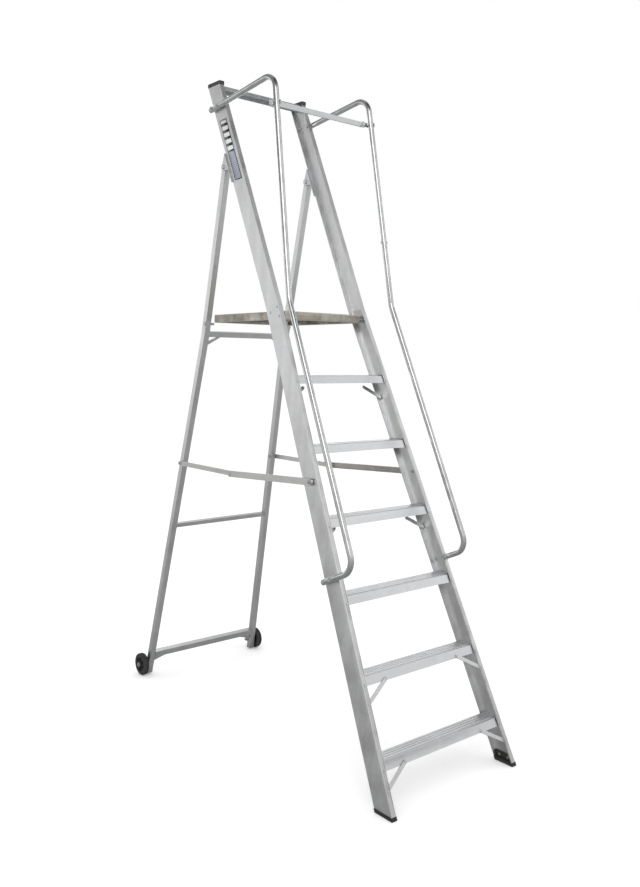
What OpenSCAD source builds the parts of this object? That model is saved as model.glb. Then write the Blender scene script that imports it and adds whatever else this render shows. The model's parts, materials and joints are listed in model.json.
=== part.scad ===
// Rolling platform ladder: a leaning front frame with six treads, a hinged rear
// frame on two wheels, a lift-up platform, side stays and bent tube handrails.
// Origin: on the floor, midway between the stiles and midway between the front
// edge of the feet and the rear edge of the wheels. X is left to right seen by
// someone climbing, Y runs from the front feet to the wheels, Z is up.

/* [Steps] */
// Height from one tread to the next
rise = 250; // [245:1:255]
// Number of treads below the platform
tread_count = 6; // [6]
// Height of the first tread above the floor
first_tread_z = 165; // [160:1:170]
// Height of the tread's front face
tread_skirt = 28; // [24:1:32]
// Depth of a tread, front to rear
tread_d = 60; // [58:1:62]

/* [Front frame] */
// Overall depth on the floor, feet to wheels
overall_d = 1710; // [1700:5:1720]
// Lean of the stiles from the vertical, in degrees
lean = 24.4; // [24.2:0.1:24.6]
// Outside width of the stiles at the floor
foot_w = 635; // [625:5:645]
// Outside width of the stiles from the platform up
top_w = 443; // [440:1:446]
// Height of the stile tops under their caps
stile_top_z = 2574; // [2574:1:2584]
// Depth of the stile channel
stile_d = 75; // [75]
// Width of the stile flanges
flange_w = 20; // [18:1:22]
// Wall thickness of the stile channel
stile_wall = 3; // [2.5:0.5:3.5]

/* [Platform] */
// Length of the platform, front to rear
deck_l = 490; // [480:1:495]
// Width of the platform
deck_w = 392; // [388:1:394]
// Height of the platform's edges
deck_edge = 33; // [31:1:35]

/* [Rear frame] */
// Lean of the rear legs from the vertical, in degrees
leg_lean = 13.25; // [13.1:0.05:13.4]
// Side of the square leg tube
leg_size = 25; // [24:0.5:26]
// Diameter of the wheels
wheel_d = 100; // [98:1:102]
// Width of the wheel tyres
tyre_w = 25; // [22:1:26]

/* [Handrails] */
// Outside diameter of the handrail tube
rail_d = 22; // [20:0.5:22]
// Distance from the front of the stiles to the middle of the tube's foot
rail_gap = 101; // [98:1:104]
// Radius of the large bend at the top of each handrail
rail_bend_r = 65; // [60:1:70]

/* [Stays] */
// Height of the wide front link of each stay
stay_front_h = 25; // [22:1:26]
// Height of the narrow rear link of each stay
stay_rear_h = 20; // [18:1:22]

/* [Hidden] */

gap = 0.2; // space left between pieces that touch
running = 0.05; // radial play round a turning pin
front_y = -overall_d / 2;
slope = tan(lean);
stile_run = stile_d / cos(lean);
wall_run = stile_wall / cos(lean);

// The platform and the bend in the stiles
deck_z = first_tread_z + tread_count * rise - 8;
knee_z = deck_z + 25;
flare = atan((foot_w - top_w) / 2 / knee_z);
shoe_h = 12;
cap_h = 14;
plate_h = 20;

// Front plane of the stiles and their outside at a height
function stile_y(z) = front_y + z * slope;
function stile_x(z) = z > knee_z ? top_w / 2 : foot_w / 2 - (foot_w - top_w) / 2 * z / knee_z;
function tread_z(k) = first_tread_z + (k - 1) * rise;

// Rear legs
wheel_r = wheel_d / 2;
axle_y = overall_d / 2 - wheel_r;
leg_foot_x = 291;
leg_top_x = 212;
leg_knee_z = 1577;
leg_foot_z = 5;
leg_wall = 2;
leg_run = leg_size / cos(leg_lean);
function leg_y(z) = axle_y - 3 - z * tan(leg_lean);
function leg_x(z) = z > leg_knee_z ? leg_top_x
  : leg_foot_x - (leg_foot_x - leg_top_x) * z / leg_knee_z;

// Main hinge, on brackets behind the stiles
hinge_z = 2240;
hinge_y = leg_y(hinge_z);
hinge_off = (hinge_y - stile_y(hinge_z) - stile_run) * cos(lean);
hinge_r = 5;
ear_r = 15;
ear_t = 3;
ear_play = 0.75;
bracket_w = leg_size + 2 * (ear_play + ear_t);

// Crossbar heights and sizes
low_bar_z = 98;
mid_bar_z = 726;
low_bar = 26;
mid_bar = 18;
high_bar = 22;
bar_wall = 2;
brace_t = 3;

// Treads: four wide ribs behind a plain nose, on a folded channel
tread_wall = 2.5;
nose_d = 9;
rib_h = 2;
rib_gap = 3;
rib_count = 4;
shelf_z = 2573;
shelf_skirt = 16;

// Straps under the treads: on the front of the lower ones, on the rear of two upper ones
front_braced = [1, 2];
rear_braced = [4, 6];
strap_t = 3;
strap_w = 14;
strap_in = 24;
front_reach = 112;
front_drop = 80;
rear_reach = 80;
rear_drop = 62;
strap_front = stile_wall + gap;
tread_near = wall_run + (strap_t + 2 * gap) / cos(lean);
strap_rear = (tread_near + tread_d) * cos(lean) + gap;

// Rivets
rivet_r = 2.4;
rivet_head_r = 4.5;
rivet_head_h = 1.8;
rivet_l = 9.4;
rivet_in = 11;

// Handrails
rail_r = rail_d / 2;
rail_bore_r = rail_r - 2;
rail_knee_z = 1692;
rail_upper_lean = 9.2;
rail_lower_lean = 23.85;
rail_splay = 1.85; // sideways lean of the upper part
rail_hold_z = 2515; // height at which the upper end meets the stile
rail_x = top_w / 2 + rail_r + 0.3;
rail_knee_x = rail_x + (rail_hold_z - rail_knee_z) * tan(rail_splay);
rail_knee_y = stile_y(rail_knee_z) - rail_gap / cos(lean) - 10;
rail_lower_run = 1010;
rail_foot_z = rail_knee_z - rail_lower_run * cos(rail_lower_lean);
rail_foot_x = stile_x(rail_foot_z) + rail_r + 2.6;
rail_flare = atan((rail_foot_x - rail_knee_x) / (rail_knee_z - rail_foot_z));
rail_turn = rail_flare - rail_splay;
rail_knee_angle = acos(sin(rail_upper_lean) * sin(rail_lower_lean)
  + cos(rail_upper_lean) * cos(rail_lower_lean) * cos(rail_turn));
rail_knee_roll = -atan2(cos(rail_lower_lean) * sin(rail_turn),
  sin(rail_lower_lean) * cos(rail_upper_lean)
  - cos(rail_lower_lean) * cos(rail_turn) * sin(rail_upper_lean));
rail_knee_r = 100;
rail_knee_tangent = rail_knee_r * tan(rail_knee_angle / 2);
rail_foot_r = 55;
rail_lower_l = rail_lower_run - rail_knee_tangent - rail_foot_r;
rail_foot_l = rail_gap + stile_d - rail_foot_r - 4;
rail_arm_drop = 6.6;
rail_top_angle = 90 - rail_upper_lean + rail_arm_drop;
rail_joint_l = 267;
rail_upper_l = 503;
rail_arm_l = 370;
sleeve_half = 45;
lap = 1; // each straight length reaches this far into the bends next to it
bend_shy = 0.06; // the bends are drawn thinner by this
bolt_r = 3;
bolt_head_r = 6;
bolt_head_h = 4;

// Guard bar across the handrails
guard_h = 19;
guard_t = 8;
guard_z = 2417;
guard_rail_x = rail_knee_x - (guard_z - rail_knee_z) * tan(rail_splay);
guard_rail_y = rail_knee_y + (guard_z - rail_knee_z) * tan(rail_upper_lean) / cos(rail_splay);
guard_y = guard_rail_y + rail_r + 6.5 + guard_t / 2;
guard_pivot_x = guard_rail_x - 27;
guard_end_x = -guard_rail_x - rail_r - 4;
fitting_t = 3;
fitting_gap = 0.7;
guard_pin_r = 3;

// Stays: pivots on the stile web and on the leg
stay_front_y = stile_y(1039) + 34;
stay_front_z = 1039;
stay_rear_z = 1014;
stay_rear_y = leg_y(stay_rear_z);
stay_mid_y = front_y + 1013;
stay_mid_z = 1012.5;
stay_front_x = stile_x(stay_front_z - stay_front_h / 2) + 2;
stay_front_w = 10;
stay_rear_t = 5;
stay_rear_x = stay_front_x - 1 - stay_rear_t;
stay_wall = 2;
stay_pin_r = 4;

// Platform
deck_wall = 3;
deck_y = stile_y(deck_z) + wall_run + 3;
deck_pivot_y = deck_y + 26;
deck_pivot_z = deck_z - deck_edge / 2;
deck_pin_r = 5;
deck_pin_in = deck_w / 2 - 6;
deck_pin_out = stile_x(deck_pivot_z) - stile_wall - 0.8;
bead_w = 18;
bead_h = 1.2;
bead_pitch = 34;
rest_y = leg_y(deck_z - deck_edge) - 2;
rest_r = 5;
rest_z = deck_z - deck_edge - rest_r - 0.3;
deck_rivets = [[-13, 30], [-29, -4], [26, 10]]; // from the pivot, along Y and Z

// Wheels
wheel_x = leg_foot_x + leg_size / 2 + 5 + tyre_w / 2;
tyre_wall = 14;
hub_bore_r = 6;
hub_w = tyre_w + 4;

alu = [0.78, 0.79, 0.8];
dark_alu = [0.6, 0.61, 0.62];
steel = [0.7, 0.7, 0.72];
black = [0.08, 0.08, 0.09];

// ---- shared shapes ----

// Turns a Y-Z outline into a bar lying along X, centred
module along_x(length) {
  rotate([90, 0, 90]) linear_extrude(length, center = true) children();
}

// Turns an X-Z outline into a slab that runs through the whole depth
module through_y() {
  rotate([90, 0, 0]) linear_extrude(2 * overall_d, center = true) children();
}

// Mirrors a right-hand piece to the left
module on_side(side) {
  mirror([side < 0 ? 1 : 0, 0, 0]) children();
}

// A rod along X with its centre at the origin
module rod_x(length, r) {
  rotate([0, 90, 0]) cylinder(h = length, r = r, center = true, $fn = 32);
}

// A frame on the front plane of the stiles at a height: Z up the slope, Y into the ladder
module on_slope(z) {
  translate([0, stile_y(z), z]) rotate([-lean, 0, 0]) children();
}

// Side view of a slice of the stile, between two depths behind its front plane
module stile_slice(near, far, z0, z1) {
  polygon([[stile_y(z0) + near, z0], [stile_y(z0) + far, z0],
    [stile_y(z1) + far, z1], [stile_y(z1) + near, z1]]);
}

// Front view of the right-hand stile from its outside to an inset
module stile_front(inset) {
  polygon([[foot_w / 2, 0], [top_w / 2, knee_z], [top_w / 2, stile_top_z],
    [top_w / 2 - inset, stile_top_z], [top_w / 2 - inset, knee_z], [foot_w / 2 - inset, 0]]);
}

// A rivet driven rearward, head in front
module rivet(grow = 0) {
  rotate([-90, 0, 0]) {
    translate([0, 0, -rivet_head_h]) cylinder(h = rivet_head_h, r = rivet_head_r, $fn = 24);
    translate([0, 0, -gap]) cylinder(h = rivet_l, r = rivet_r + grow, $fn = 24);
  }
}

// Places a rivet at each tread end and at both ends of each strap, on the right-hand side
module rivet_places() {
  for (k = [1 : tread_count]) on_slope(tread_z(k) - 22)
    translate([stile_x(tread_z(k)) - rivet_in, 0, 0]) children();
  for (k = front_braced) {
    at_strap_foot(k, front_drop, 0) children();
    at_strap_top(k, front_reach, strap_front) children();
  }
  for (k = rear_braced) {
    at_strap_foot(k, rear_drop, stile_d) rotate([0, 0, 180]) children();
    at_strap_top(k, rear_reach, strap_rear + strap_t) rotate([0, 0, 180]) children();
  }
}

// ---- front frame ----

module at_strap_foot(k, drop, depth) {
  on_slope(tread_z(k) - drop) translate([stile_x(tread_z(k) - drop) - rivet_in, depth, 0])
    children();
}

module at_strap_top(k, reach, depth) {
  on_slope(tread_z(k)) translate([stile_x(tread_z(k)) - reach, depth, -strap_in]) children();
}

module stile() {
  color(alu) difference() {
    union() {
      intersection() {
        along_x(2 * foot_w) stile_slice(0, stile_run, shoe_h, stile_top_z);
        through_y() stile_front(stile_wall);
      }
      for (near = [0, stile_run - wall_run]) intersection() {
        along_x(2 * foot_w) stile_slice(near, near + wall_run, shoe_h, stile_top_z);
        through_y() stile_front(flange_w);
      }
    }
    rivet_places() rivet(running);
    rail_bolt_places() rod_x(60, bolt_r + running);
    shoe_rivet_places() rod_x(30, rivet_r + running);
    translate([0, stay_front_y, stay_front_z]) rod_x(2 * foot_w, stay_pin_r + running);
    deck_bracket_rivet_places() rod_x(30, rivet_r + running);
  }
}

// A channel tread with a ribbed top, its front and rear faces parallel to the stiles
module tread(z, skirt) {
  thick = tread_wall / cos(lean);
  half = stile_x(z) - stile_wall - gap;
  top = z - rib_h;
  pitch = (tread_d - nose_d) / rib_count;
  color(alu) difference() {
    along_x(2 * half) {
      difference() {
        stile_slice(tread_near, tread_near + tread_d, top - skirt, top);
        stile_slice(tread_near + thick, tread_near + tread_d - thick, top - skirt - 1,
          top - tread_wall);
      }
      for (i = [0 : rib_count - 1])
        translate([stile_y(z) + tread_near + nose_d + i * pitch, top - 0.5])
          square([pitch - rib_gap, rib_h + 0.5]);
    }
    for (side = [-1, 1]) on_side(side) rivet_places() rivet(running);
  }
}

// Flat strap with round ends between two points of the plane across the ladder
module strap(start, end) {
  run = end - start;
  translate([start[0], 0, start[1]]) rotate([0, -atan2(run[1], run[0]), 0]) {
    translate([0, 0, -strap_w / 2]) cube([norm(run), strap_t, strap_w]);
    for (x = [0, norm(run)]) translate([x, 0, 0]) rotate([-90, 0, 0])
      cylinder(h = strap_t, r = strap_w / 2, $fn = 32);
  }
}

// Strap from under a tread to a stile, at a depth behind the stiles' front plane
module tread_strap(k, reach, drop, depth) {
  on_slope(tread_z(k)) translate([0, depth, 0]) strap(
    [stile_x(tread_z(k)) - reach, -strap_in],
    [stile_x(tread_z(k) - drop) - rivet_in, -drop / cos(lean)]);
}

// Straps of the treads; the rear ones stand off from the rear flange on a round pad
module tread_braces() {
  pad = stile_d - stile_wall - gap - strap_rear;
  color(alu) for (side = [-1, 1]) on_side(side) difference() {
    union() {
      for (k = front_braced) tread_strap(k, front_reach, front_drop, strap_front);
      for (k = rear_braced) {
        tread_strap(k, rear_reach, rear_drop, strap_rear);
        at_strap_foot(k, rear_drop, strap_rear) rotate([-90, 0, 0])
          cylinder(h = pad, r = strap_w / 2 - 1, $fn = 32);
      }
    }
    rivet_places() rivet(running);
  }
}

module tread_rivets() {
  color(steel) for (side = [-1, 1]) on_side(side) rivet_places() rivet();
}

// A flat cap over the sawn stile top
module cap() {
  color(black) translate([top_w / 2 - flange_w / 2, stile_y(stile_top_z) + stile_run / 2,
    stile_top_z + cap_h / 2]) cube([flange_w + 3, stile_run + 3, cap_h], center = true);
}

// Rubber shoe: a sole under the stile and a plate up the inside of its web
module shoe() {
  color(black) difference() {
    union() {
      intersection() {
        along_x(2 * foot_w) stile_slice(0, stile_run, 0, shoe_h - 0.1);
        through_y() polygon([[foot_w / 2 + 2, 0], [foot_w / 2 + 2, shoe_h],
          [foot_w / 2 - flange_w - 2, shoe_h], [foot_w / 2 - flange_w - 2, 0]]);
      }
      intersection() {
        along_x(2 * foot_w)
          stile_slice(wall_run + gap, stile_run - wall_run - gap, shoe_h - 1, shoe_h + plate_h);
        through_y() translate([-stile_wall - gap, 0]) stile_front(4);
      }
    }
    shoe_rivet_places() rod_x(30, rivet_r + running);
  }
}

module shoe_rivet_places() {
  z = shoe_h + 9;
  for (back = [22, 60]) translate([stile_x(z), stile_y(z) + back, z])
    rotate([0, -flare, 0]) children();
}

module shoe_rivets() {
  color(steel) for (side = [-1, 1]) on_side(side) shoe_rivet_places() {
    translate([-3.5, 0, 0]) rod_x(11, rivet_r);
    translate([-9, 0, 0]) rod_x(2, rivet_head_r + 1);
  }
}

// ---- handrails ----

// A straight length of handrail tube, up Z
module straight_tube(length) {
  difference() {
    cylinder(h = length, r = rail_r, $fn = 32);
    translate([0, 0, -1]) cylinder(h = length + 2, r = rail_bore_r, $fn = 32);
  }
}

// A bend that starts up Z and turns toward Y, or away from it for a negative angle
module tube_bend(bend, angle) {
  turn = sign(angle);
  translate([0, turn * bend, 0]) rotate([90, 0, -90 * turn])
    rotate_extrude(angle = abs(angle), $fn = 72) translate([bend, 0]) difference() {
      circle(rail_r - bend_shy, $fn = 32);
      circle(rail_bore_r + bend_shy, $fn = 32);
    }
}

// Tube bent from a list of moves: [straight length, bend radius, bend angle],
// starting up Z; a positive angle turns it toward Y
module bent_tube(moves, i = 0) {
  if (i < len(moves)) {
    length = moves[i][0];
    bend = moves[i][1];
    angle = moves[i][2];
    turn = sign(angle);
    if (length > 0) translate([0, 0, -lap]) straight_tube(length + 2 * lap);
    translate([0, 0, length]) {
      if (bend > 0) tube_bend(bend, angle);
      translate([0, turn * bend * (1 - cos(angle)), bend * abs(sin(angle))])
        rotate([-angle, 0, 0]) bent_tube(moves, i + 1);
    }
  }
}

rail_lower_moves = [[rail_lower_l, rail_foot_r, -90], [rail_foot_l, 0, 0]];
rail_upper_moves = [[rail_upper_l, rail_bend_r, rail_top_angle], [rail_arm_l, 0, 0]];

// Top of the knee: Z runs up the handrail's upper part
module at_rail_knee() {
  translate([rail_knee_x, rail_knee_y, rail_knee_z]) rotate([0, -rail_splay, 0])
    rotate([-rail_upper_lean, 0, 0]) translate([0, 0, rail_knee_tangent]) children();
}

// Foot of the knee: Z runs down the flared lower part
module at_rail_foot_start() {
  translate([rail_knee_x, rail_knee_y, rail_knee_z]) rotate([0, -rail_flare, 0])
    rotate([180 - rail_lower_lean, 0, 0]) translate([0, 0, rail_knee_tangent]) children();
}

// Carries its children to the end of a list of moves
module at_end(moves, i = 0) {
  if (i < len(moves)) {
    bend = moves[i][1];
    angle = moves[i][2];
    translate([0, sign(angle) * bend * (1 - cos(angle)), moves[i][0] + bend * abs(sin(angle))])
      rotate([-angle, 0, 0]) at_end(moves, i + 1) children();
  } else children();
}

module at_rail_joint() {
  at_rail_knee() translate([0, 0, rail_joint_l]) children();
}

// Places along the handrail where a bolt goes through tube and web
module rail_bolt_places() {
  at_rail_foot_start() at_end(rail_lower_moves)
    for (back = [14, 50]) translate([0, 0, -back]) children();
  at_rail_joint() at_end(rail_upper_moves)
    for (back = [19, 58]) translate([0, 0, -back]) children();
}

module rail_lower() {
  color(steel) difference() {
    union() {
      at_rail_foot_start() bent_tube(rail_lower_moves);
      at_rail_knee() {
        rotate([180, 0, 0]) rotate([0, 0, rail_knee_roll]) tube_bend(rail_knee_r, rail_knee_angle);
        translate([0, 0, -lap]) straight_tube(rail_joint_l - gap);
      }
    }
    rail_bolt_places() rod_x(60, bolt_r + running);
    at_rail_joint() translate([0, 0, -sleeve_half / 2]) rod_x(60, bolt_r + running);
  }
}

module rail_upper() {
  color(steel) difference() {
    at_rail_joint() bent_tube(rail_upper_moves);
    rail_bolt_places() rod_x(60, bolt_r + running);
    translate([guard_rail_x, guard_rail_y, guard_z]) rod_x(60, guard_pin_r + running);
  }
}

// Spigots inside the handrail joints, bolted to the lower tube
module rail_sleeves() {
  color(dark_alu) for (side = [-1, 1]) on_side(side) at_rail_joint() difference() {
    cylinder(h = 2 * sleeve_half, r = rail_bore_r - running, center = true, $fn = 32);
    translate([0, 0, -sleeve_half / 2]) rod_x(60, bolt_r + running);
  }
}

// Bolts through the handrail ends and webs; the spigot's pin has heads on the right only
module rail_bolts() {
  outer = rail_r + 0.3 + bolt_head_h / 2;
  inner = rail_r + stile_wall + 1.8 + bolt_head_h / 2;
  color(steel) for (side = [-1, 1]) on_side(side) {
    rail_bolt_places() {
      translate([(outer - inner) / 2, 0, 0]) rod_x(outer + inner, bolt_r);
      for (end = [-inner, outer]) translate([end, 0, 0]) rod_x(bolt_head_h, bolt_head_r);
    }
    at_rail_joint() translate([0, 0, -sleeve_half / 2]) {
      rod_x(side > 0 ? 2 * outer : 2 * rail_r - 0.6, bolt_r);
      if (side > 0) for (end = [-outer, outer]) translate([end, 0, 0])
        rod_x(bolt_head_h, bolt_head_r - 1);
    }
  }
}

// ---- main hinge ----

// Frame at the hinge pin: Z up the stile, Y away from it
module at_hinge() {
  translate([leg_top_x, hinge_y, hinge_z]) rotate([-lean, 0, 0]) children();
}

// Bracket on the rear flange with two ears that hold the leg
module hinge_bracket() {
  color(dark_alu) at_hinge() difference() {
    union() {
      translate([-bracket_w / 2, -hinge_off + 0.1, -85])
        cube([bracket_w, ear_t, 130]);
      for (end = [-1, 1]) translate([end * (bracket_w - ear_t) / 2, 0, 0]) {
        rod_x(ear_t, ear_r);
        along_x(ear_t) polygon([[0, -ear_r], [0, ear_r], [-hinge_off + 2, 42], [-hinge_off + 2, -30]]);
      }
    }
    rod_x(2 * bracket_w, hinge_r + 0.02);
  }
}

module hinge_pins() {
  color(steel) for (side = [-1, 1]) on_side(side) at_hinge() {
    rod_x(bracket_w + 2, hinge_r);
    for (end = [-1, 1]) translate([end * (bracket_w / 2 + 2.2), 0, 0]) rod_x(4, hinge_r + 3);
  }
}

// ---- guard bar and its fittings ----

// Fork bolted to the right handrail that holds the guard bar's pin
module guard_clevis() {
  plate_x = guard_rail_x + rail_r + fitting_gap;
  plate_y = -guard_t / 2 - 4;
  arm_x = guard_pivot_x - 12;
  color(dark_alu) difference() {
    translate([0, guard_y, guard_z]) {
      translate([arm_x, plate_y, -8]) cube([plate_x + fitting_t - arm_x, 3.5, 16]);
      translate([guard_pivot_x, plate_y, 0]) rotate([-90, 0, 0]) cylinder(h = 3.5, r = 12, $fn = 32);
      translate([plate_x, plate_y - rail_r - 10, -8]) cube([fitting_t, rail_r + 13.5, 16]);
    }
    translate([guard_pivot_x, guard_y, guard_z]) rotate([90, 0, 0])
      cylinder(h = 40, r = guard_pin_r + 0.02, center = true, $fn = 32);
    translate([guard_rail_x, guard_rail_y, guard_z]) rod_x(60, guard_pin_r + running);
  }
}

// Pivot of the guard bar, and the bolts that fix its fork and its catch
module guard_pin() {
  color(steel) {
    translate([guard_pivot_x, guard_y, guard_z]) rotate([90, 0, 0]) {
      translate([0, 0, -guard_t / 2 - 1]) cylinder(h = guard_t + 6, r = guard_pin_r, $fn = 32);
      translate([0, 0, -guard_t / 2 - 4.4]) cylinder(h = 3.5, r = 6, $fn = 32);
      translate([0, 0, guard_t / 2 + 4.2]) cylinder(h = 3, r = 6, $fn = 32);
    }
    for (x = [-guard_rail_x, guard_rail_x]) translate([x, guard_rail_y, guard_z]) {
      translate([2, 0, 0]) rod_x(2 * rail_r + 8, guard_pin_r);
      for (end = [-rail_r - 2.6, rail_r + fitting_gap + fitting_t + 2.2])
        translate([end, 0, 0]) rod_x(4, 5.5);
    }
  }
}

// Hook on the left handrail that the free end of the bar drops into
module guard_catch() {
  plate_x = rail_r + fitting_gap;
  front = -guard_t / 2 - 8;
  low = -guard_h / 2 - 5;
  color(dark_alu) translate([-guard_rail_x, guard_y, guard_z]) difference() {
    union() {
      translate([-9, front, low]) cube([18, guard_t + 12.2, 4.5]);
      translate([-9, front, low]) cube([plate_x + fitting_t + 9, 7.5, 22]);
      translate([-9, guard_t / 2 + 0.7, low]) cube([18, 3.5, 12]);
      translate([plate_x, front - rail_r - 6, -8]) cube([fitting_t, rail_r + 13.5, 16]);
    }
    translate([0, guard_rail_y - guard_y, 0]) rod_x(60, guard_pin_r + running);
    translate([0, guard_rail_y - guard_y, 0]) rotate([0, rail_splay, 0])
      rotate([-rail_upper_lean, 0, 0]) cylinder(h = 80, r = rail_r + 0.1, center = true, $fn = 32);
  }
}

module guard_bar() {
  color(alu) difference() {
    union() {
      translate([guard_end_x, guard_y - guard_t / 2, guard_z - guard_h / 2])
        cube([guard_pivot_x - guard_end_x, guard_t, guard_h]);
      translate([guard_pivot_x, guard_y, guard_z]) rotate([90, 0, 0])
        cylinder(h = guard_t, r = guard_h / 2, center = true, $fn = 32);
    }
    translate([guard_pivot_x, guard_y, guard_z]) rotate([90, 0, 0])
      cylinder(h = 40, r = guard_pin_r + running, center = true, $fn = 32);
  }
}

// ---- platform ----

module deck_bracket_rivet_places() {
  for (spot = deck_rivets)
    translate([stile_x(deck_pivot_z + spot[1]), deck_pivot_y + spot[0], deck_pivot_z + spot[1]])
      children();
}

// Plate on the inside of the web that carries the platform's pin
module deck_bracket() {
  color(dark_alu) difference() {
    intersection() {
      along_x(2 * foot_w) stile_slice(wall_run + gap, stile_run - wall_run - gap,
        deck_pivot_z - 15, deck_pivot_z + 37);
      through_y() translate([-stile_wall - gap, 0]) stile_front(4);
    }
    translate([0, deck_pivot_y, deck_pivot_z]) rod_x(2 * foot_w, deck_pin_r + 0.02);
    deck_bracket_rivet_places() rod_x(30, rivet_r + running);
  }
}

// Pins the platform swings on, and the rivets that hold their brackets
module deck_pins() {
  color(steel) for (side = [-1, 1]) on_side(side) {
    translate([(deck_pin_in + deck_pin_out) / 2, deck_pivot_y, deck_pivot_z])
      rod_x(deck_pin_out - deck_pin_in, deck_pin_r);
    deck_bracket_rivet_places() {
      translate([-3.5, 0, 0]) rod_x(9, rivet_r);
      translate([1.4, 0, 0]) rod_x(rivet_head_h, rivet_head_r);
    }
  }
}

// Folded tray with raised beads on its top
module platform_deck() {
  color(dark_alu) difference() {
    translate([0, deck_y + deck_l / 2, deck_z - deck_edge / 2]) {
      difference() {
        cube([deck_w, deck_l, deck_edge], center = true);
        translate([0, 0, -deck_wall])
          cube([deck_w - 2 * deck_wall, deck_l - 2 * deck_wall, deck_edge], center = true);
      }
      for (i = [-5 : 5]) translate([i * bead_pitch, 0, deck_edge / 2])
        cube([bead_w / 3, deck_l - 30, 2 * bead_h], center = true);
    }
    translate([0, deck_pivot_y, deck_pivot_z]) rod_x(2 * foot_w, deck_pin_r + running);
  }
}

// Two folded ribs under the platform
module platform_stiffeners() {
  color(alu) for (side = [-1, 1]) on_side(side)
    translate([60, deck_y + deck_wall + gap, deck_z - deck_wall - gap - 18])
      cube([14, deck_l - 2 * deck_wall - 2 * gap, 18]);
}

// ---- rear frame ----

// Side view of a leg, widened on each side
module leg_side(grow) {
  half = leg_run / 2 + grow;
  top = hinge_z + 12;
  polygon([[leg_y(leg_foot_z) - half, leg_foot_z], [leg_y(leg_foot_z) + half, leg_foot_z],
    [leg_y(top) + half, top], [leg_y(top) - half, top]]);
}

// Front view of a leg, widened on each side
module leg_front(grow) {
  half = leg_size / 2 + grow;
  top = hinge_z + 12;
  polygon([[leg_x(0) - half, 0], [leg_x(0) + half, 0], [leg_top_x + half, leg_knee_z],
    [leg_top_x + half, top], [leg_top_x - half, top], [leg_top_x - half, leg_knee_z]]);
}

module leg() {
  color(alu) difference() {
    intersection() {
      along_x(2 * foot_w) leg_side(0);
      through_y() leg_front(0);
    }
    intersection() {
      along_x(2 * foot_w) leg_side(-leg_wall);
      through_y() leg_front(-leg_wall);
    }
    at_hinge() rod_x(60, hinge_r + running);
    translate([leg_x(wheel_r), axle_y, wheel_r]) rod_x(60, hub_bore_r + running);
    translate([0, stay_rear_y, stay_rear_z]) rod_x(2 * foot_w, stay_pin_r + running);
    translate([leg_top_x, rest_y, rest_z]) rod_x(60, rest_r + running);
  }
}

// Square tube between the legs at a height
module crossbar(z, size) {
  half = leg_x(z + size) - leg_size / 2 - gap;
  inside = size - 2 * bar_wall;
  color(alu) translate([0, leg_y(z), z]) rotate([leg_lean, 0, 0]) difference() {
    cube([2 * half, size, size], center = true);
    cube([2 * half + 2, inside, inside], center = true);
  }
}

// Flat straps from the legs to the undersides of the upper and lower crossbars
module crossbar_braces() {
  color(alu) for (side = [-1, 1]) on_side(side) {
    crossbar_brace(leg_knee_z, high_bar, 60, 36);
    crossbar_brace(low_bar_z, low_bar, 80, 26);
  }
}

// Strap from a point along the crossbar to the leg's inner face below it
module crossbar_brace(z, size, run, drop) {
  face = leg_x(z - drop + 4) - leg_size / 2 - 2 * gap;
  under = -size / 2 - gap;
  translate([0, leg_y(z), z]) rotate([leg_lean, 0, 0])
    rotate([90, 0, 0]) linear_extrude(brace_t, center = true)
      polygon([[face - run - 8, under], [face - run + 10, under], [face, 4 - drop],
        [face, -drop - 12], [face - 4, -drop - 12]]);
}

// Studs on the insides of the legs that the platform rests on
module deck_rests() {
  color(steel) for (side = [-1, 1]) on_side(side) translate([leg_top_x, rest_y, rest_z]) {
    translate([-8, 0, 0]) rod_x(leg_size + 22, rest_r);
    translate([leg_size / 2 + 2.2, 0, 0]) rod_x(4, rest_r + 3);
  }
}

// ---- stays ----

module stay_bolts_front() {
  color(steel) for (side = [-1, 1]) on_side(side)
    translate([stay_front_x, stay_front_y, stay_front_z]) {
      translate([1, 0, 0]) rod_x(2 * stay_front_w + 10, stay_pin_r);
      translate([stay_front_w + 2.5, 0, 0]) rod_x(4, 7);
      translate([-8.4, 0, 0]) rod_x(4, 7);
    }
}

module stay_bolts_rear() {
  color(steel) for (side = [-1, 1]) on_side(side)
    translate([leg_x(stay_rear_z), stay_rear_y, stay_rear_z]) {
      translate([3, 0, 0]) rod_x(leg_size + 22, stay_pin_r);
      translate([stay_rear_x + stay_rear_t - leg_x(stay_rear_z) + 2.4, 0, 0]) rod_x(4, 7);
      translate([-leg_size / 2 - 3.5, 0, 0]) rod_x(4, 7);
    }
}

// Wide channel link, pivoted on the stile
module stay_front() {
  length = norm([stay_mid_y - stay_front_y, stay_mid_z - stay_front_z]);
  color(alu) translate([stay_front_x + stay_front_w / 2, stay_front_y, stay_front_z])
    rotate([atan((stay_mid_z - stay_front_z) / (stay_mid_y - stay_front_y)), 0, 0]) difference() {
      union() {
        translate([0, length / 2, 0]) cube([stay_front_w, length, stay_front_h], center = true);
        for (y = [0, length]) translate([0, y, 0]) rod_x(stay_front_w, stay_front_h / 2);
      }
      translate([-stay_wall, length / 2, 0])
        cube([stay_front_w, length - 30, stay_front_h - 2 * stay_wall], center = true);
      rod_x(60, stay_pin_r + running);
      translate([0, length, 0]) rod_x(60, stay_pin_r + running);
    }
}

// Rivet at the middle joint of a stay
module stay_joint_pin() {
  color(steel)
    translate([stay_front_x + stay_front_w / 2, stay_mid_y, stay_mid_z]) {
      translate([0.5, 0, 0]) rod_x(stay_front_w + 1, stay_pin_r);
      translate([stay_front_w / 2 + 1.6, 0, 0]) rod_x(3, 7);
    }
}

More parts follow.
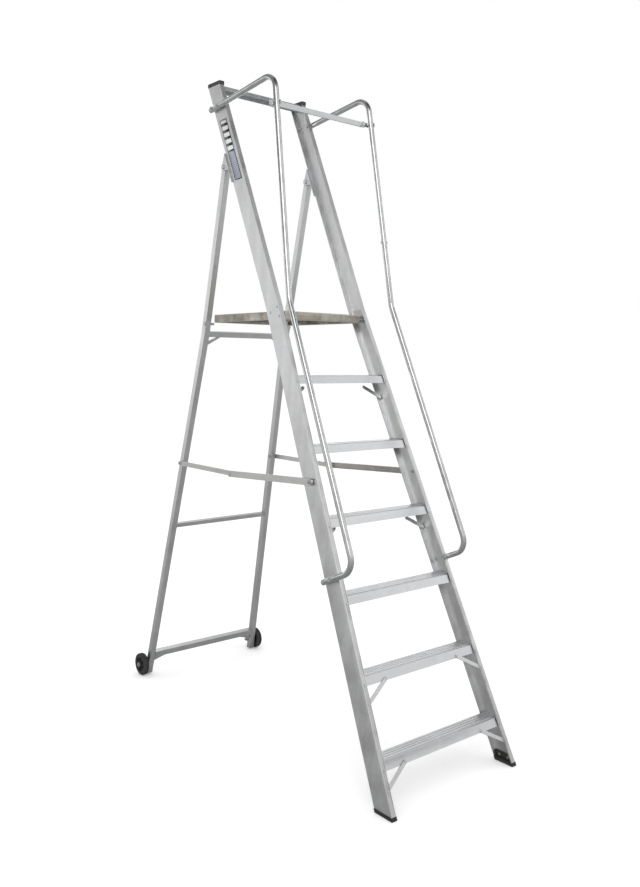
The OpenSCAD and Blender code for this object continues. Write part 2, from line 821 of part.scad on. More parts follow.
// Narrow flat link, pivoted on the leg
module stay_rear() {
  length = norm([stay_mid_y - stay_rear_y, stay_mid_z - stay_rear_z]);
  color(alu) translate([stay_rear_x + stay_rear_t / 2, stay_rear_y, stay_rear_z])
    rotate([atan((stay_mid_z - stay_rear_z) / (stay_mid_y - stay_rear_y)), 0, 0]) difference() {
      union() {
        translate([0, -length / 2, 0]) cube([stay_rear_t, length, stay_rear_h], center = true);
        for (y = [0, -length]) translate([0, y, 0]) rod_x(stay_rear_t, stay_rear_h / 2);
      }
      rod_x(60, stay_pin_r + running);
      translate([0, -length, 0]) rod_x(60, stay_pin_r + running);
    }
}

// ---- wheels ----

module axle() {
  color(steel) translate([wheel_x, axle_y, wheel_r]) {
    translate([-20, 0, 0]) rod_x(hub_w + 50, hub_bore_r);
    translate([hub_w / 2 + 3, 0, 0]) rod_x(5, hub_bore_r + 4);
    translate([-48.8, 0, 0]) rod_x(5, hub_bore_r + 4);
  }
}

module tyre() {
  color(black) translate([wheel_x, axle_y, wheel_r]) rotate([0, 90, 0])
    rotate_extrude($fn = 72) polygon([[wheel_r - tyre_wall, -tyre_w / 2 + 2],
      [wheel_r - 4, -tyre_w / 2], [wheel_r, -tyre_w / 2 + 5], [wheel_r, tyre_w / 2 - 5],
      [wheel_r - 4, tyre_w / 2], [wheel_r - tyre_wall, tyre_w / 2 - 2]]);
}

module hub() {
  color(black) translate([wheel_x, axle_y, wheel_r]) rotate([0, 90, 0]) difference() {
    union() {
      cylinder(h = tyre_w - 8, r = wheel_r - tyre_wall - gap, center = true, $fn = 72);
      cylinder(h = hub_w, r = 14, center = true, $fn = 32);
    }
    cylinder(h = 2 * hub_w, r = hub_bore_r + running, center = true, $fn = 32);
  }
}

on_side(-1) stile();  // stile_left
stile();  // stile_right
tread(tread_z(1), tread_skirt);  // tread_1
tread(tread_z(2), tread_skirt);  // tread_2
tread(tread_z(3), tread_skirt);  // tread_3
tread(tread_z(4), tread_skirt);  // tread_4
tread(tread_z(5), tread_skirt);  // tread_5
tread(tread_z(6), tread_skirt);  // tread_6
tread(shelf_z, shelf_skirt);  // top_shelf
tread_braces();
tread_rivets();
on_side(-1) cap();  // cap_left
cap();  // cap_right
on_side(-1) shoe();  // shoe_left
shoe();  // shoe_right
shoe_rivets();
on_side(-1) rail_lower();  // rail_left_lower
on_side(-1) rail_upper();  // rail_left_upper
rail_lower();  // rail_right_lower
rail_upper();  // rail_right_upper
rail_sleeves();
rail_bolts();
on_side(-1) hinge_bracket();  // hinge_left
hinge_bracket();  // hinge_right
hinge_pins();
on_side(-1) deck_bracket();  // deck_bracket_left
deck_bracket();  // deck_bracket_right
deck_pins();
guard_catch();
guard_clevis();
guard_pin();
stay_bolts_front();
platform_deck();
platform_stiffeners();
on_side(-1) leg();  // leg_left
leg();  // leg_right
crossbar(leg_knee_z, high_bar);  // upper_crossbar
crossbar(mid_bar_z, mid_bar);  // middle_crossbar
crossbar(low_bar_z, low_bar);  // lower_crossbar
crossbar_braces();
deck_rests();
stay_bolts_rear();
on_side(-1) axle();  // axle_left
axle();  // axle_right
guard_bar();
on_side(-1) stay_front();  // stay_front_left
stay_front();  // stay_front_right
on_side(-1) stay_joint_pin();  // stay_joint_pin_left
stay_joint_pin();  // stay_joint_pin_right
on_side(-1) stay_rear();  // stay_rear_left
stay_rear();  // stay_rear_right
on_side(-1) tyre();  // tyre_left
tyre();  // tyre_right
on_side(-1) hub();  // hub_left
hub();  // hub_right
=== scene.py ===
"""Looks of the rolling platform ladder: materials, moulded and pressed pieces, studio, camera."""

import json
import math

import bmesh
import bpy
from mathutils import Matrix, Vector


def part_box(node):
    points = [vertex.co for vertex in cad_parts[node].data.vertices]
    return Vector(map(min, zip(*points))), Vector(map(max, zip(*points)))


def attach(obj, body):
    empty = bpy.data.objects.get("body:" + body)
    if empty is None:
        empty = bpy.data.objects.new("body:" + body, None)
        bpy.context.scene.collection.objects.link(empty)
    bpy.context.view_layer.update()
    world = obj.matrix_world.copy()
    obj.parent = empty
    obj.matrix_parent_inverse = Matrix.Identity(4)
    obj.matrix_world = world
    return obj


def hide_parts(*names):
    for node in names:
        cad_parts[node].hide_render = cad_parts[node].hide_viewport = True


MM = 0.001

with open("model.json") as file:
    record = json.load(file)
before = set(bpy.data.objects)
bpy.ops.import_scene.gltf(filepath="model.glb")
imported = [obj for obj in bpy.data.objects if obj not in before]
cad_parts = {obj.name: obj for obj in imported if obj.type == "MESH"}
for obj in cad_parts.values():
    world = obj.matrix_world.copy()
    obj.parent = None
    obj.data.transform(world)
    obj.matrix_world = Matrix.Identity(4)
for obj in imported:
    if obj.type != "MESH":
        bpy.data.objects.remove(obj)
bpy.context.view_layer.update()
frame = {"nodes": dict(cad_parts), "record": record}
nodes = frame["nodes"]


# ---- material helpers ----


class Graph:
    """A material's node tree with short calls for the nodes used here."""

    def __init__(self, name):
        self.material = bpy.data.materials.new(name)
        self.material.use_nodes = True
        self.tree = self.material.node_tree
        self.shader = self.tree.nodes["Principled BSDF"]
        self.place = self.node("ShaderNodeTexCoord").outputs["Object"]

    def node(self, kind, **values):
        made = self.tree.nodes.new(kind)
        for key, value in values.items():
            setattr(made, key, value)
        return made

    def link(self, source, target):
        self.tree.links.new(source, target)

    def stretched(self, scale, turn=(0, 0, 0)):
        """Object coordinates scaled per axis, so a texture runs along a direction."""
        mapping = self.node("ShaderNodeMapping")
        mapping.inputs["Scale"].default_value = scale
        mapping.inputs["Rotation"].default_value = turn
        self.link(self.place, mapping.inputs["Vector"])
        return mapping.outputs["Vector"]

    def noise(self, vector, scale, detail=4.0, rough=0.55, distortion=0.0):
        made = self.node("ShaderNodeTexNoise")
        made.inputs["Scale"].default_value = scale
        made.inputs["Detail"].default_value = detail
        made.inputs["Roughness"].default_value = rough
        made.inputs["Distortion"].default_value = distortion
        self.link(vector, made.inputs["Vector"])
        return made.outputs["Fac"]

    def ramp(self, value, *stops):
        """Maps a value through (position, brightness or colour) stops."""
        made = self.node("ShaderNodeValToRGB")
        elements = made.color_ramp.elements
        while len(elements) < len(stops):
            elements.new(0.5)
        for element, (position, tone) in zip(elements, stops):
            element.position = position
            element.color = (*tone, 1.0) if isinstance(tone, tuple) else (tone, tone, tone, 1.0)
        self.link(value, made.inputs["Fac"])
        return made.outputs["Color"]

    def mix(self, factor, first, second, blend="MIX"):
        """Mixes two colours; factor, first and second are sockets or plain values."""
        made = self.node("ShaderNodeMix", data_type="RGBA", blend_type=blend)
        for socket, value in ((0, factor), (6, first), (7, second)):
            if isinstance(value, bpy.types.NodeSocket):
                self.link(value, made.inputs[socket])
            elif isinstance(value, tuple):
                made.inputs[socket].default_value = (*value, 1.0)
            else:
                made.inputs[socket].default_value = value
        return made.outputs[2]

    def maths(self, operation, first, second=0.0):
        made = self.node("ShaderNodeMath", operation=operation)
        for index, value in enumerate((first, second)):
            if isinstance(value, bpy.types.NodeSocket):
                self.link(value, made.inputs[index])
            else:
                made.inputs[index].default_value = value
        return made.outputs[0]

    def edges(self, spread=0.06):
        """High where the surface turns a sharp edge."""
        geometry = self.node("ShaderNodeNewGeometry")
        low = 0.5 + spread / 3
        return self.ramp(geometry.outputs["Pointiness"], (low, 0.0), (0.5 + spread, 1.0))

    def bump(self, height, strength, distance):
        made = self.node("ShaderNodeBump")
        made.inputs["Strength"].default_value = strength
        made.inputs["Distance"].default_value = distance
        self.link(height, made.inputs["Height"])
        self.link(made.outputs["Normal"], self.shader.inputs["Normal"])

    def finish(self, colour, roughness, metallic=0.0, **inputs):
        self.link(colour, self.shader.inputs["Base Color"])
        self.link(roughness, self.shader.inputs["Roughness"])
        self.shader.inputs["Metallic"].default_value = metallic
        for name, value in inputs.items():
            self.shader.inputs[name.replace("_", " ")].default_value = value
        return self.material


LEAN = math.radians(24.4)
LEG_LEAN = math.radians(-13.25)


def alloy(name, light, dark, along="z", lean=0.0, rough=0.36, mottle=0.5, scratch=0.5):
    """Mill-finish aluminium: streaks along the section, oxide mottling, scratches, bright edges."""
    graph = Graph(name)
    fine = {"x": (3, 260, 260), "y": (260, 3, 260), "z": (260, 260, 3)}[along]
    coarse = {"x": (1.2, 30, 30), "y": (30, 1.2, 30), "z": (30, 30, 1.2)}[along]
    turn = (lean, 0, 0)
    streaks = graph.noise(graph.stretched(fine, turn), 1.0, 3, 0.6)
    bands = graph.noise(graph.stretched(coarse, turn), 1.0, 3, 0.5)
    patches = graph.noise(graph.place, 9.0, 6, 0.62, 0.6)
    specks = graph.noise(graph.place, 140.0, 3, 0.7)
    tone = graph.mix(graph.ramp(patches, (0.34, 0.0), (0.68, 1.0)), dark, light)
    tone = graph.mix(mottle * 0.5, tone, graph.ramp(bands, (0.3, 0.3), (0.7, 0.95)), "OVERLAY")
    tone = graph.mix(0.28, tone, graph.ramp(streaks, (0.3, 0.2), (0.7, 0.9)), "OVERLAY")
    nicks = graph.ramp(specks, (0.66, 0.0), (0.74, 1.0))
    tone = graph.mix(graph.maths("MULTIPLY", nicks, 0.35), tone, (0.2, 0.2, 0.2))
    scuffs = graph.ramp(
        graph.noise(graph.stretched((14, 60, 34), (0.5, 0.4, 0.9)), 1.0, 5, 0.5, 2.4),
        (0.485, 0.0), (0.5, 1.0), (0.515, 0.0),
    )
    tone = graph.mix(graph.maths("MULTIPLY", scuffs, 0.3 * scratch), tone, (0.9, 0.9, 0.9))
    tone = graph.mix(graph.maths("MULTIPLY", graph.edges(), 0.6), tone, (0.88, 0.89, 0.9))
    gloss = graph.ramp(patches, (0.3, rough - 0.08), (0.7, rough + 0.12))
    gloss = graph.mix(0.35, gloss, graph.ramp(streaks, (0.3, rough - 0.1), (0.7, rough + 0.2)))
    height = graph.mix(0.5, graph.ramp(streaks, (0.2, 0.0), (0.8, 1.0)), scuffs)
    graph.bump(height, 0.22, 0.0003)
    return graph.finish(tone, gloss, 1.0)


def drawn_tube(name, light, dark):
    """Polished tube: soft length-wise lines, handling marks and small dull patches."""
    graph = Graph(name)
    lines = graph.noise(graph.stretched((380, 380, 6), (LEAN, 0, 0)), 1.0, 3, 0.6)
    smears = graph.noise(graph.place, 16.0, 5, 0.6, 0.8)
    tone = graph.mix(graph.ramp(smears, (0.35, 0.0), (0.66, 1.0)), dark, light)
    tone = graph.mix(0.15, tone, graph.ramp(lines, (0.3, 0.3), (0.7, 0.9)), "OVERLAY")
    marks = graph.ramp(graph.noise(graph.place, 90.0, 3, 0.7), (0.69, 0.0), (0.75, 1.0))
    tone = graph.mix(graph.maths("MULTIPLY", marks, 0.4), tone, (0.25, 0.25, 0.25))
    gloss = graph.ramp(smears, (0.3, 0.16), (0.7, 0.3))
    return graph.finish(tone, gloss, 1.0)


def moulded(name, base, worn, grain=420.0, rough=0.5):
    """Moulded plastic or rubber: fine pebble grain, dust in patches, worn pale edges."""
    graph = Graph(name)
    pebble = graph.noise(graph.place, grain, 2, 0.5)
    dust = graph.noise(graph.place, 22.0, 5, 0.65)
    tone = graph.mix(graph.ramp(dust, (0.45, 0.0), (0.75, 0.6)), base, worn)
    tone = graph.mix(graph.maths("MULTIPLY", graph.edges(0.08), 0.5), tone, worn)
    gloss = graph.ramp(dust, (0.3, rough - 0.12), (0.75, rough + 0.25))
    graph.bump(pebble, 0.3, 0.0003)
    return graph.finish(tone, gloss, 0.0)


def plated(name, light, dark):
    """Zinc-plated steel: faint spangle and darker blotches."""
    graph = Graph(name)
    spangle = graph.node("ShaderNodeTexVoronoi")
    spangle.inputs["Scale"].default_value = 260.0
    graph.link(graph.place, spangle.inputs["Vector"])
    blotch = graph.noise(graph.place, 60.0, 4, 0.6)
    tone = graph.mix(graph.ramp(blotch, (0.35, 0.0), (0.65, 1.0)), dark, light)
    facets = graph.ramp(spangle.outputs["Distance"], (0.0, 0.4), (0.6, 0.9))
    tone = graph.mix(0.2, tone, facets, "OVERLAY")
    gloss = graph.ramp(blotch, (0.3, 0.25), (0.7, 0.45))
    graph.bump(blotch, 0.15, 0.0002)
    return graph.finish(tone, gloss, 1.0)


materials = {
    "stile_alloy": alloy(
        "stile_alloy", (0.66, 0.665, 0.67), (0.28, 0.272, 0.25), lean=LEAN, mottle=0.85,
    ),
    "tread_alloy": alloy(
        "tread_alloy", (0.76, 0.765, 0.765), (0.44, 0.45, 0.46), along="x", mottle=0.5,
    ),
    "rail_tube": drawn_tube("rail_tube", (0.72, 0.73, 0.73), (0.52, 0.53, 0.53)),
    "leg_alloy": alloy("leg_alloy", (0.52, 0.52, 0.51), (0.34, 0.34, 0.335), lean=LEG_LEAN, rough=0.33),
    "stay_alloy": alloy("stay_alloy", (0.56, 0.54, 0.49), (0.38, 0.365, 0.33), along="y", rough=0.42),
    "deck_plate": alloy(
        "deck_plate", (0.64, 0.61, 0.53), (0.27, 0.245, 0.21), along="x", mottle=0.8, rough=0.45,
    ),
    "bracket_alloy": alloy("bracket_alloy", (0.50, 0.51, 0.51), (0.33, 0.335, 0.34), mottle=0.4),
    "fastener": plated("fastener", (0.72, 0.72, 0.71), (0.5, 0.5, 0.5)),
    "black_plastic": moulded("black_plastic", (0.010, 0.010, 0.011), (0.05, 0.05, 0.05), rough=0.42),
    "foot_rubber": moulded("foot_rubber", (0.007, 0.007, 0.008), (0.035, 0.034, 0.031), rough=0.6),
    "wheel_rubber": moulded("wheel_rubber", (0.016, 0.016, 0.017), (0.075, 0.072, 0.066), rough=0.55),
}


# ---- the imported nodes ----


def dress_frame():
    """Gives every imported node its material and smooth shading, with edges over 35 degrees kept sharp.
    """
    slots = {part["node"]: part["material_slot"] for part in frame["record"]["subparts"]}
    for name, obj in nodes.items():
        obj.data.materials.clear()
        obj.data.materials.append(materials[slots[name]])
        for face in obj.data.polygons:
            face.use_smooth = True
        obj.data.set_sharp_from_angle(angle=math.radians(35))


dress_frame()


# ---- mesh helpers ----


def add_piece(name, shape, material, body, stands_for=(), crease=35):
    """Turns a bmesh into a smooth-shaded piece that rides on a body."""
    mesh = bpy.data.meshes.new(name)
    bmesh.ops.recalc_face_normals(shape, faces=shape.faces)
    shape.to_mesh(mesh)
    shape.free()
    obj = bpy.data.objects.new(name, mesh)
    bpy.context.scene.collection.objects.link(obj)
    mesh.materials.append(material)
    for face in mesh.polygons:
        face.use_smooth = True
    mesh.set_sharp_from_angle(angle=math.radians(crease))
    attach(obj, body)
    if stands_for:
        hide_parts(*stands_for)
    return obj


def lathe(shape, profile, centre, steps=96):
    """Spins a closed (along X, radius) outline in millimetres round an X axis through centre."""
    rings = []
    for step in range(steps):
        angle = 2 * math.pi * step / steps
        rings.append([
            shape.verts.new(centre + MM * Vector((x, radius * math.cos(angle), radius * math.sin(angle))))
            for x, radius in profile
        ])
    for ring, after in zip(rings, rings[1:] + rings[:1]):
        for i in range(len(profile)):
            j = (i + 1) % len(profile)
            shape.faces.new((ring[i], ring[j], after[j], after[i]))


def mirrored(half):
    """Closes a half outline, given from the middle outward, with its mirror image."""
    return half + [(-across, radius) for across, radius in reversed(half) if across > 0]


def middle(node):
    low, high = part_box(node)
    return (low + high) / 2


# ---- wheels ----

TYRE_HALF = [
    (0, 50), (2.6, 50), (3.2, 48.8), (4.4, 48.8), (5, 49.9), (8.6, 49.4), (10.6, 48.2), (12, 45.6),
    (12.5, 42.8), (12, 41.4), (11.1, 40.9), (11.1, 39.8), (12, 39.2), (11.6, 36.2),
]
HUB_RIM = [(9.5, 35.9), (10.5, 35.2), (10.5, 31.8), (9.8, 31), (3.2, 30.2), (2.6, 28.5)]
HUB_BOSS = [(2.6, 17), (3.4, 14.8), (12.6, 13.6), (14.2, 12.6), (14.5, 11.4), (14.5, 6.4)]
SPOKES = 6


def wheel_tyre(side):
    shape = bmesh.new()
    lathe(shape, mirrored(TYRE_HALF), middle("tyre_" + side), 128)
    add_piece(
        "wheel_tyre_" + side, shape, materials["wheel_rubber"], "wheel_" + side, ("tyre_" + side,)
    )


def wheel_hub(side):
    """Moulded hub: rim, thin web and boss in one spin, with raised spokes on both faces."""
    centre = middle("hub_" + side)
    shape = bmesh.new()
    lathe(shape, mirrored([(0, 35.9)] + HUB_RIM + HUB_BOSS), centre, 96)
    for spoke in range(SPOKES):
        turn = Matrix.Rotation(2 * math.pi * spoke / SPOKES, 4, "X")
        rib = bmesh.ops.create_cube(shape, size=1.0)["verts"]
        for vert in rib:
            taper = 0.72 if abs(vert.co.x) > 0.4 else 1.0
            size = Vector((19, 18.6, 4.6 * taper))
            local = Vector((vert.co.x * size.x, vert.co.y * size.y + 22.6, vert.co.z * size.z))
            vert.co = centre + MM * (turn @ local)
    add_piece(
        "wheel_hub_" + side, shape, materials["black_plastic"], "wheel_" + side, ("hub_" + side,)
    )


# ---- rubber shoes and stile caps ----


def soften(obj, width, segments=3):
    """Rounds a piece's sharp edges."""
    bevel = obj.modifiers.new("soft_edges", "BEVEL")
    bevel.width = width * MM
    bevel.segments = segments
    bevel.limit_method = "ANGLE"
    bevel.angle_limit = math.radians(30)
    bevel.harden_normals = True


# ---- platform ----

PLATE_GRID = 3.2
FOLD_RADIUS = 4.0
LOZENGE_PITCH = 27.0
LOZENGE_LENGTH = 11.0
LOZENGE_WIDTH = 3.4
LOZENGE_HEIGHT = 1.1
PLATE_THICK = 2.4


def folded(distance, half):
    """Place along the top and drop below it, for a sheet folded down beyond half its width."""
    reach = abs(distance) - (half - FOLD_RADIUS)
    if reach <= 0:
        return distance, 0.0
    side = math.copysign(1.0, distance)
    angle = min(reach / FOLD_RADIUS, math.pi / 2)
    straight = max(0.0, reach - FOLD_RADIUS * math.pi / 2)
    along = half - FOLD_RADIUS + FOLD_RADIUS * math.sin(angle)
    return side * along, FOLD_RADIUS * (1 - math.cos(angle)) + straight


def lozenge(u, v):
    """Height of the tread-plate pattern: lozenges that lean left and right in turn."""
    column, row = math.floor(u / LOZENGE_PITCH), math.floor(v / LOZENGE_PITCH)
    du, dv = u - (column + 0.5) * LOZENGE_PITCH, v - (row + 0.5) * LOZENGE_PITCH
    lean = math.radians(45 if (column + row) % 2 else -45)
    along = du * math.cos(lean) + dv * math.sin(lean)
    across = -du * math.sin(lean) + dv * math.cos(lean)
    reach = (along / LOZENGE_LENGTH) ** 2 + (across / LOZENGE_WIDTH) ** 2
    return LOZENGE_HEIGHT * max(0.0, 1 - reach) ** 0.5 if reach < 1 else 0.0


def platform_tray():
    """One sheet of tread plate folded down on four sides, with open corners."""
    low, high = (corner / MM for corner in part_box("platform_deck"))
    top = high.z - 1.2
    depth = top - low.z
    centre = (low + high) / 2
    half_w, half_l = (high.x - low.x) / 2, (high.y - low.y) / 2
    spare = FOLD_RADIUS * (math.pi / 2 - 1)
    out_w = half_w + spare + depth - FOLD_RADIUS
    out_l = half_l + spare + depth - FOLD_RADIUS
    columns = 2 * round(out_w / PLATE_GRID)
    rows = 2 * round(out_l / PLATE_GRID)
    shape = bmesh.new()
    verts = {}

    def corner(column, row):
        if (column, row) not in verts:
            u = (column / columns * 2 - 1) * out_w
            v = (row / rows * 2 - 1) * out_l
            x, drop_x = folded(u, half_w)
            y, drop_y = folded(v, half_l)
            rise = lozenge(u, v)
            side = drop_x > FOLD_RADIUS * 0.5
            end = drop_y > FOLD_RADIUS * 0.5
            out_x = math.copysign(rise, u) if side else 0.0
            out_y = math.copysign(rise, v) if end else 0.0
            up = 0.0 if side or end else rise
            shrink = LOZENGE_HEIGHT
            verts[column, row] = shape.verts.new(MM * Vector((
                centre.x + x * (1 - shrink / half_w) + out_x,
                centre.y + y * (1 - shrink / half_l) + out_y,
                top - drop_x - drop_y + up,
            )))
        return verts[column, row]

    for column in range(columns):
        for row in range(rows):
            u = abs((column + 0.5) / columns * 2 - 1) * out_w
            v = abs((row + 0.5) / rows * 2 - 1) * out_l
            if u > half_w - FOLD_RADIUS and v > half_l - FOLD_RADIUS:
                continue
            shape.faces.new((
                corner(column, row), corner(column + 1, row),
                corner(column + 1, row + 1), corner(column, row + 1),
            ))
    tray = add_piece("platform_tray", shape, materials["deck_plate"], "platform", ("platform_deck",))
    thick = tray.modifiers.new("sheet", "SOLIDIFY")
    thick.thickness = PLATE_THICK * MM
    thick.offset = -1.0


# ---- label ----

LABEL_LENGTH = 275.0
LABEL_WIDTH = 44.0
LABEL_TOP_Z = 2.452
LABEL_INSET = 15.0
LABEL_BARS = 9.0
LABEL_LINES = 34.0


def label_material():
    """Blank outlined sticker: pale upper field with cross bars, slate lower field with fine lines."""
    graph = Graph("label")
    uv = graph.node("ShaderNodeUVMap").outputs["UV"]
    split = graph.node("ShaderNodeSeparateXYZ")
    graph.link(uv, split.inputs["Vector"])
    across, along = split.outputs["X"], split.outputs["Y"]
    bar_share = graph.maths("FRACT", graph.maths("MULTIPLY", along, LABEL_BARS))
    bars = graph.ramp(bar_share, (0.40, 0.0), (0.44, 1.0))
    line_share = graph.maths("FRACT", graph.maths("MULTIPLY", along, LABEL_LINES))
    lines = graph.ramp(line_share, (0.6, 0.0), (0.7, 0.55))
    upper = graph.mix(bars, (0.015, 0.015, 0.016), (0.72, 0.73, 0.73))
    lower = graph.mix(lines, (0.23, 0.26, 0.33), (0.62, 0.65, 0.70))
    field = graph.mix(graph.ramp(along, (0.46, 1.0), (0.465, 0.0)), upper, lower)
    off_centre = graph.maths("ABSOLUTE", graph.maths("SUBTRACT", across, 0.5))
    off_middle = graph.maths("ABSOLUTE", graph.maths("SUBTRACT", along, 0.5))
    rim = graph.maths("MAXIMUM", graph.ramp(off_centre, (0.41, 0.0), (0.42, 1.0)),
                      graph.ramp(off_middle, (0.482, 0.0), (0.485, 1.0)))
    wear = graph.ramp(graph.noise(graph.place, 70.0, 5, 0.7), (0.58, 0.0), (0.66, 1.0))
    tone = graph.mix(rim, field, (0.02, 0.02, 0.022))
    tone = graph.mix(graph.maths("MULTIPLY", wear, 0.5), tone, (0.5, 0.5, 0.5))
    return graph.finish(tone, graph.ramp(wear, (0.0, 0.32), (1.0, 0.6)), 0.0)


def stile_label():
    """Thin sticker on the outside of the left stile's web, in line with the stile."""
    rise = math.cos(LEAN)
    web_x = web_side_x("stile_left") - 0.35 * MM
    front = Vector((web_x, front_edge_y("stile_left", LABEL_TOP_Z), LABEL_TOP_Z))
    down = Vector((0, -math.sin(LEAN), -rise))
    back = Vector((0, rise, -math.sin(LEAN)))
    start = front + back * (LABEL_INSET * MM)
    shape = bmesh.new()
    uv_layer = shape.loops.layers.uv.new("UVMap")
    corners = []
    for u, v in ((0, 0), (1, 0), (1, 1), (0, 1)):
        run = 1 - v + 0.06 * (1 - u)
        place = start + back * (u * LABEL_WIDTH * MM) + down * (run * LABEL_LENGTH * MM)
        corners.append((shape.verts.new(place), (u, v)))
    face = shape.faces.new([vert for vert, _ in corners])
    for loop, (_, uv) in zip(face.loops, corners):
        loop[uv_layer].uv = uv
    label = add_piece("stile_label", shape, label_material(), "front_frame")
    thick = label.modifiers.new("film", "SOLIDIFY")
    thick.thickness = 0.3 * MM
    thick.offset = 1.0 if label.data.polygons[0].normal.x > 0 else -1.0


def web_side_x(node):
    """Outside of the left stile's web above the platform, from its highest corners."""
    _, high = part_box(node)
    return min(v.co.x for v in nodes[node].data.vertices if v.co.z > high.z - 0.04)


def front_edge_y(node, z):
    """Front plane of a leaning node at a height, from its lowest front corner."""
    low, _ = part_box(node)
    return low.y + (z - low.z) * math.tan(LEAN)


for side in ("left", "right"):
    wheel_tyre(side)
    wheel_hub(side)
for node in ("shoe_left", "shoe_right", "cap_left", "cap_right"):
    soften(nodes[node], 1.6)
platform_tray()
stile_label()


# ---- studio ----

CAMERA_LENS = 34.99
CAMERA_PLACE = Vector((-2.196, -2.718, 1.475))
CAMERA_YAW = math.radians(-39.82)
CAMERA_PITCH = math.radians(-5.56)
CAMERA_ROLL = math.radians(0.80)


def make_camera():
    camera = bpy.data.objects.new("camera", bpy.data.cameras.new("camera"))
    bpy.context.scene.collection.objects.link(camera)
    camera.data.sensor_width = 36.0
    camera.data.lens = CAMERA_LENS
    level = math.pi / 2 + CAMERA_PITCH
    turn = Matrix.Rotation(CAMERA_YAW, 4, "Z") @ Matrix.Rotation(level, 4, "X")
    camera.matrix_world = Matrix.Translation(CAMERA_PLACE) @ turn @ Matrix.Rotation(CAMERA_ROLL, 4, "Z")
    bpy.context.scene.camera = camera


def soft_light(name, place, target, size, power):
    light = bpy.data.lights.new(name, "AREA")
    light.shape = "RECTANGLE"
    light.size, light.size_y = size
    light.energy = power
    obj = bpy.data.objects.new(name, light)
    bpy.context.scene.collection.objects.link(obj)
    obj.location = place
    obj.rotation_euler = (Vector(target) - Vector(place)).to_track_quat("-Z", "Y").to_euler()
    return obj


def glossy_ray(tree):
    return tree.nodes.new("ShaderNodeLightPath").outputs["Is Glossy Ray"]


SHADED_REACH = 15.0


def make_floor():
    """A wide pale sweep with a faint grain, darker where metal mirrors it."""
    mesh = bpy.data.meshes.new("floor")
    reach = 60.0
    corners = [(-reach, -reach, 0), (reach, -reach, 0), (reach, reach, 0), (-reach, reach, 0)]
    mesh.from_pydata(corners, [], [(0, 1, 2, 3)])
    floor = bpy.data.objects.new("floor", mesh)
    bpy.context.scene.collection.objects.link(floor)
    graph = Graph("floor")
    grain = graph.noise(graph.place, 3.0, 4)
    pale = graph.ramp(grain, (0.3, 0.90), (0.7, 0.92))
    away = graph.node("ShaderNodeVectorMath", operation="LENGTH")
    graph.link(graph.place, away.inputs[0])
    share = graph.maths("DIVIDE", away.outputs["Value"], SHADED_REACH)
    mirrored_tone = graph.ramp(share, (0.1, 0.30), (1.0, 0.66))
    tone = graph.mix(glossy_ray(graph.tree), pale, mirrored_tone)
    glow = graph.mix(glossy_ray(graph.tree), (0.16, 0.16, 0.16), (0.0, 0.0, 0.0))
    graph.link(glow, graph.shader.inputs["Emission Color"])
    floor.data.materials.append(graph.finish(
        tone, graph.ramp(grain, (0.3, 0.9), (0.7, 0.95)), Emission_Strength=1.0, Specular_IOR_Level=0.0,
    ))
    floor.location.z = -0.001


# Brightness of the surround that metal mirrors, as (share of a turn, brightness). The turn starts
# at -X and runs through -Y and +X.
SURROUND_TURN = [
    (0.00, 0.60), (0.141, 1.00), (0.25, 0.70), (0.33, 1.00), (0.42, 1.00),
    (0.52, 0.35), (0.62, 2.20), (0.75, 0.90), (0.86, 1.00), (1.00, 0.60),
]
# The same from level (0.5) to straight up (1.0), in front of the ladder and behind it.
FRONT_HEIGHT = [
    (0.50, 0.45), (0.687, 0.95), (0.808, 0.85), (0.841, 0.42),
    (0.866, 0.20), (0.91, 0.09), (0.953, 0.06), (1.0, 0.05),
]
BACK_HEIGHT = [
    (0.50, 0.70), (0.535, 1.15), (0.567, 1.50), (0.604, 0.75), (0.644, 0.28), (1.0, 0.34),
]


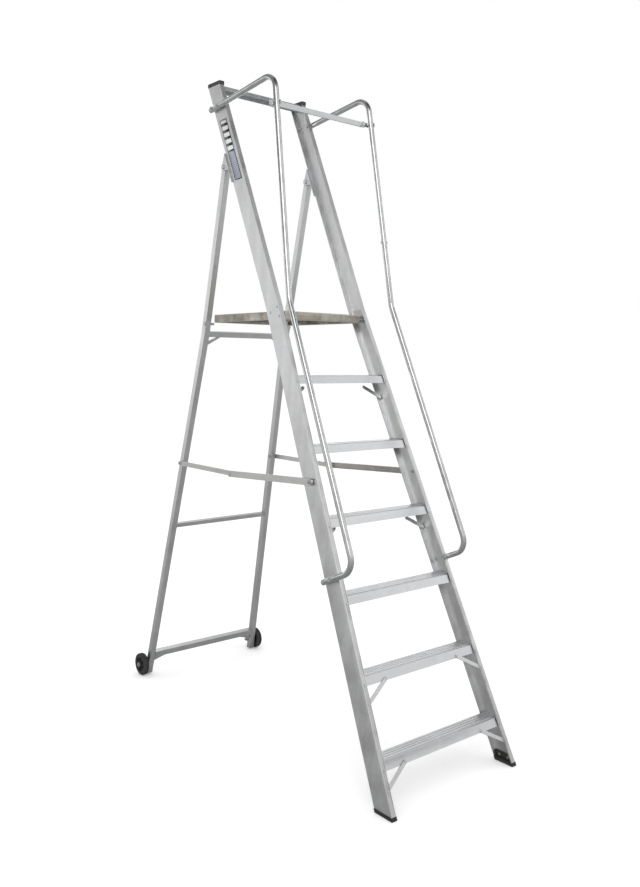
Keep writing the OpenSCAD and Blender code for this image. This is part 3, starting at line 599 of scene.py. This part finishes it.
def make_world():
    """Even white for the camera and for matt surfaces; a shaded studio for metal to mirror."""
    world = bpy.data.worlds.new("studio")
    bpy.context.scene.world = world
    world.use_nodes = True
    tree = world.node_tree
    tree.nodes.clear()
    place = tree.nodes.new("ShaderNodeTexCoord")
    split = tree.nodes.new("ShaderNodeSeparateXYZ")
    tree.links.new(place.outputs["Generated"], split.inputs["Vector"])

    def maths(operation, first, second):
        made = tree.nodes.new("ShaderNodeMath")
        made.operation = operation
        for socket, value in zip(made.inputs, (first, second)):
            if isinstance(value, bpy.types.NodeSocket):
                tree.links.new(value, socket)
            else:
                socket.default_value = value
        return made.outputs[0]

    def ramp(value, stops):
        made = tree.nodes.new("ShaderNodeValToRGB")
        elements = made.color_ramp.elements
        while len(elements) < len(stops):
            elements.new(0.5)
        for element, (position, tone) in zip(elements, stops):
            element.position = position
            element.color = (tone, tone, tone, 1)
        tree.links.new(value, made.inputs["Fac"])
        return made.outputs["Color"]

    turn = maths("ARCTAN2", split.outputs["Y"], split.outputs["X"])
    turn = maths("ADD", maths("DIVIDE", turn, 2 * math.pi), 0.5)
    height = maths("ADD", maths("MULTIPLY", split.outputs["Z"], 0.5), 0.5)
    behind = maths("ADD", maths("MULTIPLY", split.outputs["Y"], 5.0), 0.5)
    blend = tree.nodes.new("ShaderNodeMix")
    blend.data_type = "RGBA"
    blend.clamp_factor = True
    tree.links.new(behind, blend.inputs[0])
    tree.links.new(ramp(height, FRONT_HEIGHT), blend.inputs[6])
    tree.links.new(ramp(height, BACK_HEIGHT), blend.inputs[7])
    seen = maths("MULTIPLY", ramp(turn, SURROUND_TURN), blend.outputs[2])
    surround = tree.nodes.new("ShaderNodeBackground")
    tree.links.new(seen, surround.inputs["Color"])
    backdrop = tree.nodes.new("ShaderNodeBackground")
    backdrop.inputs["Color"].default_value = (1, 1, 1, 1)
    choose = tree.nodes.new("ShaderNodeMixShader")
    tree.links.new(glossy_ray(tree), choose.inputs[0])
    tree.links.new(backdrop.outputs[0], choose.inputs[1])
    tree.links.new(surround.outputs[0], choose.inputs[2])
    output = tree.nodes.new("ShaderNodeOutputWorld")
    tree.links.new(choose.outputs[0], output.inputs["Surface"])


make_camera()
make_floor()
make_world()
soft_light("key", (-3.0, -3.5, 4.2), (0, 0, 1.2), (2.4, 2.4), 40)
soft_light("fill", (3.4, -2.2, 2.4), (0, 0, 1.0), (2.0, 3.0), 4)
soft_light("back", (0.5, 4.0, 3.8), (0, 0, 1.3), (3.0, 2.0), 22)
bpy.context.scene.view_settings.view_transform = "Standard"
